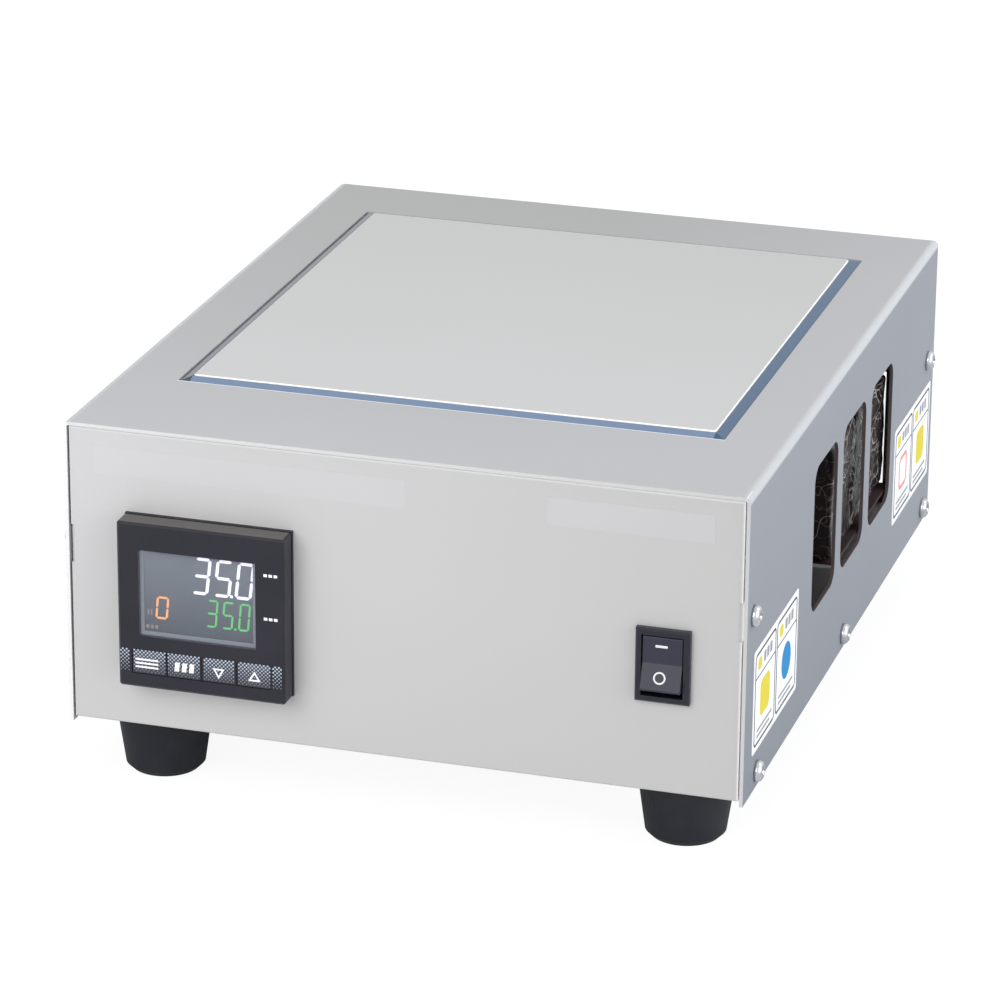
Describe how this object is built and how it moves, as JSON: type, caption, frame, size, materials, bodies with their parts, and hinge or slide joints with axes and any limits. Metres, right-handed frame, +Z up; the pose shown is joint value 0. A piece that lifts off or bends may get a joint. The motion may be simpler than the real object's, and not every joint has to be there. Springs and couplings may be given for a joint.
{
  "type": "cold plate",
  "caption": "Bench cold plate: a square aluminium plate cooled by thermoelectric modules in a folded steel case with a temperature controller, side vents and rubber feet.",
  "frame": {"origin": "centre of the base of the whole part's box, on the plane that the feet stand on", "axes": "+Z up, +Y from the front panel with the controller to the rear panel, +X to the right of a person who faces the front"},
  "size_m": [0.1962, 0.244, 0.1075],
  "materials": {
    "case_paint": "satin light grey coating",
    "chassis_paint": "satin light grey coating",
    "plate_aluminium": "fine matt, bead blasted",
    "seal_rubber": "smooth blue-grey",
    "foam": "closed-cell foam",
    "film": "crumpled protective film",
    "block_aluminium": "milled",
    "sink_aluminium": "extruded",
    "module_ceramic": "white ceramic",
    "zinc_steel": "zinc plated",
    "screw_steel": "bright",
    "nylon": "natural",
    "fan_plastic": "black moulded",
    "bronze": "sintered",
    "copper_winding": "enamelled wire",
    "shaft_steel": "ground",
    "controller_plastic": "fine textured black",
    "window_clear": "clear tinted",
    "display_glass": "dark display",
    "key_plastic": "dotted dark film",
    "gasket_rubber": "smooth black",
    "switch_plastic": "black",
    "contact_brass": "tinned",
    "inlet_plastic": "black",
    "board_laminate": "green laminate",
    "transformer_tape": "yellow tape",
    "can_aluminium": "dark sleeve",
    "foot_rubber": "moulded black",
    "disc_ceramic": "moulded brown"
  },
  "bodies": {
    "case": {"cover": "case_paint", "chassis": "chassis_paint", "cover_screws": "screw_steel", "cold_plate": "plate_aluminium", "plate_seal": "seal_rubber", "insulation_slab": "foam", "peltier_modules": "module_ceramic", "cold_blocks": "block_aluminium", "heat_sink": "sink_aluminium", "clamp_screws": "screw_steel", "clamp_bushes": "nylon", "sink_rail_left": "zinc_steel", "sink_rail_right": "zinc_steel", "pad_shelf_left": "zinc_steel", "pad_shelf_right": "zinc_steel", "side_pad_left": "film", "side_pad_right": "film", "rail_screws": "screw_steel", "rail_nuts": "screw_steel", "sink_screws": "screw_steel", "fan_screws": "screw_steel", "fan_frame": "fan_plastic", "fan_bearing": "bronze", "fan_stator": "copper_winding", "controller_bezel": "controller_plastic", "display_window": "window_clear", "display_panel": "display_glass", "controller_gasket": "gasket_rubber", "controller_body": "controller_plastic", "controller_terminals": "screw_steel", "controller_clamp": "controller_plastic", "switch_body": "switch_plastic", "switch_terminals": "contact_brass", "power_inlet": "inlet_plastic", "inlet_pins": "contact_brass", "supply_board": "board_laminate", "supply_supports": "nylon", "supply_transformer": "transformer_tape", "supply_capacitors": "can_aluminium", "supply_heat_bars": "block_aluminium", "supply_terminals": "controller_plastic", "foot_front_left": "foot_rubber", "foot_front_right": "foot_rubber", "foot_rear_left": "foot_rubber", "foot_rear_right": "foot_rubber", "foot_screws": "screw_steel", "foot_nuts": "screw_steel", "plate_sensor": "shaft_steel", "plate_cutout": "disc_ceramic"},
    "fan_wheel": {"fan_rotor": "fan_plastic", "fan_shaft": "shaft_steel"},
    "rocker": {"switch_rocker": "switch_plastic"},
    "mode_button": {"key_mode": "key_plastic"},
    "function_button": {"key_function": "key_plastic"},
    "down_button": {"key_down": "key_plastic"},
    "up_button": {"key_up": "key_plastic"}
  },
  "joints": [
    {"name": "fan_spin", "type": "hinge", "parent": "case", "child": "fan_wheel", "pos_m": [0, 0.0245, 0.032], "axis": [0, 0, 1], "continuous": true},
    {"name": "rocker_tilt", "type": "hinge", "parent": "case", "child": "rocker", "pos_m": [0.0734, -0.1117, 0.0567], "axis": [1, 0, 0], "range_deg": [0, 20]},
    {"name": "mode_press", "type": "slide", "parent": "case", "child": "mode_button", "axis": [0, 1, 0], "range_m": [0, 0.0004], "stiffness_N_per_m": 800},
    {"name": "function_press", "type": "slide", "parent": "case", "child": "function_button", "axis": [0, 1, 0], "range_m": [0, 0.0004], "stiffness_N_per_m": 800},
    {"name": "down_press", "type": "slide", "parent": "case", "child": "down_button", "axis": [0, 1, 0], "range_m": [0, 0.0004], "stiffness_N_per_m": 800},
    {"name": "up_press", "type": "slide", "parent": "case", "child": "up_button", "axis": [0, 1, 0], "range_m": [0, 0.0004], "stiffness_N_per_m": 800}
  ]
}
